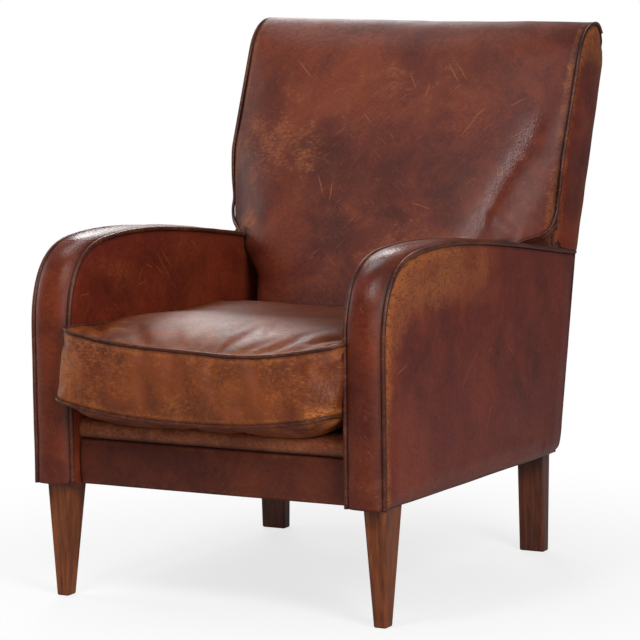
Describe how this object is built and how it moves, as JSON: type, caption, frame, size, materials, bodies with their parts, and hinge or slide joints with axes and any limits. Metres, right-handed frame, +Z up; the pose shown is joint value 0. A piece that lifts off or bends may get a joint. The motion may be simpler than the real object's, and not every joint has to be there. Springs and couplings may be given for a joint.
{
  "type": "club chair",
  "caption": "Worn brown leather club chair with padded arms, a tall padded back, piped seams, a loose seat cushion and tapered wooden legs.",
  "frame": {"origin": "on the floor under the middle of the chair's width and depth", "axes": "+Z up, the seat faces -Y, +X is the sitter's left"},
  "size_m": [0.674, 0.924, 0.944],
  "materials": {
    "back_leather": "worn semi-gloss",
    "arm_leather": "worn semi-gloss",
    "seat_leather": "worn satin",
    "piping_leather": "worn satin",
    "stained_beech": "stained satin, worn at the edges",
    "raw_beech": "raw sawn",
    "foam": "matte foam",
    "spring_steel": "bare drawn wire",
    "jute": "plain woven",
    "black_cloth": "matte"
  },
  "bodies": {
    "root": {"arm_band_left": "arm_leather", "arm_band_right": "arm_leather", "arm_inner_panel_left": "arm_leather", "arm_inner_panel_right": "arm_leather", "arm_outer_panel_left": "arm_leather", "arm_outer_panel_right": "arm_leather", "arm_padding_left": "foam", "arm_padding_right": "foam", "arm_piping_inner_left": "piping_leather", "arm_piping_inner_right": "piping_leather", "arm_piping_outer_left": "piping_leather", "arm_piping_outer_right": "piping_leather", "arm_rail_left": "raw_beech", "arm_rail_right": "raw_beech", "back_front_cover": "back_leather", "back_lower_rail": "raw_beech", "back_padding": "foam", "back_piping_left": "piping_leather", "back_piping_right": "piping_leather", "back_post_left": "raw_beech", "back_post_right": "raw_beech", "back_rear_cover": "back_leather", "back_side_band_left": "back_leather", "back_side_band_right": "back_leather", "back_top_rail": "raw_beech", "back_webbing_1": "jute", "back_webbing_2": "jute", "back_webbing_3": "jute", "corner_block_front_left": "raw_beech", "corner_block_front_right": "raw_beech", "corner_block_rear_left": "raw_beech", "corner_block_rear_right": "raw_beech", "cushion_bottom_panel": "seat_leather", "cushion_boxing": "seat_leather", "cushion_core": "foam", "cushion_piping_bottom": "piping_leather", "cushion_piping_top": "piping_leather", "cushion_top_panel": "seat_leather", "deck_cover": "black_cloth", "dust_cloth": "black_cloth", "front_leg_left": "stained_beech", "front_leg_right": "stained_beech", "front_lip_cover": "back_leather", "front_lip_pad": "foam", "front_post_left": "raw_beech", "front_post_right": "raw_beech", "front_rail": "raw_beech", "front_rail_cover": "back_leather", "rear_leg_left": "stained_beech", "rear_leg_right": "stained_beech", "rear_rail": "raw_beech", "seat_pad": "foam", "seat_spring_1": "spring_steel", "seat_spring_2": "spring_steel", "seat_spring_3": "spring_steel", "seat_spring_4": "spring_steel", "side_rail_left": "raw_beech", "side_rail_right": "raw_beech", "spring_cloth": "jute"}
  },
  "joints": []
}
